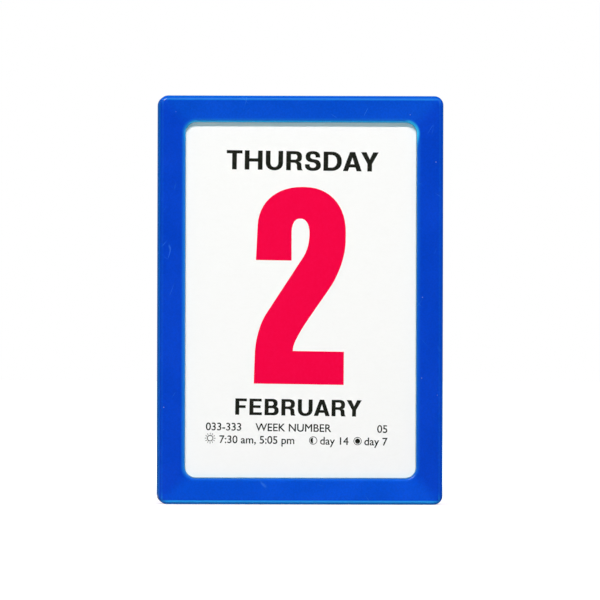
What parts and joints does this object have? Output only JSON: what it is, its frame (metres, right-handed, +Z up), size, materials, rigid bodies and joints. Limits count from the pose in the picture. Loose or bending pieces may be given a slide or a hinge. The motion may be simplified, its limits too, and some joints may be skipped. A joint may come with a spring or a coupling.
{
  "type": "tear-off day calendar",
  "caption": "Upright block calendar: a blue moulded window frame round a gummed pad of day leaves, with a press-in back cover, a keyhole hanger and a fold-out strut.",
  "frame": {"origin": "under the middle of the frame, on its bottom face", "axes": "+X to the right as the leaf is read, +Y from the leaf towards the back cover, +Z up"},
  "size_m": [0.08, 0.025, 0.115],
  "materials": {
    "frame_plastic": "gloss moulded blue",
    "cover_plastic": "fine-textured moulded blue",
    "strut_plastic": "fine-textured moulded blue",
    "grey_board": "uncoated grey board",
    "padding_gum": "dried padding gum",
    "today_paper": "smooth white printing paper",
    "tomorrow_paper": "smooth white printing paper",
    "pad_paper": "stacked white printing paper"
  },
  "bodies": {
    "frame": {"front_frame": "frame_plastic", "backing_board": "grey_board", "gum_strip": "padding_gum", "tomorrow_leaf": "tomorrow_paper", "february_leaves": "pad_paper", "march_leaves": "pad_paper", "april_leaves": "pad_paper", "may_leaves": "pad_paper", "june_leaves": "pad_paper", "july_leaves": "pad_paper", "august_leaves": "pad_paper", "september_leaves": "pad_paper", "october_leaves": "pad_paper", "november_leaves": "pad_paper", "december_leaves": "pad_paper"},
    "leaf": {"today_leaf": "today_paper"},
    "cover": {"back_cover": "cover_plastic"},
    "strut": {"stand_strut": "strut_plastic"}
  },
  "joints": [
    {"name": "leaf_turn", "type": "hinge", "parent": "frame", "child": "leaf", "pos_m": [0, -0.0125, 0.1075], "axis": [-1, 0, 0], "range_deg": [0, 120]},
    {"name": "cover_pull", "type": "slide", "parent": "frame", "child": "cover", "axis": [0, 1, 0], "range_m": [0, 0.03]},
    {"name": "strut_fold", "type": "hinge", "parent": "cover", "child": "strut", "pos_m": [0, 0.0109, 0.09028], "axis": [1, 0, 0], "range_deg": [0, 28]}
  ]
}
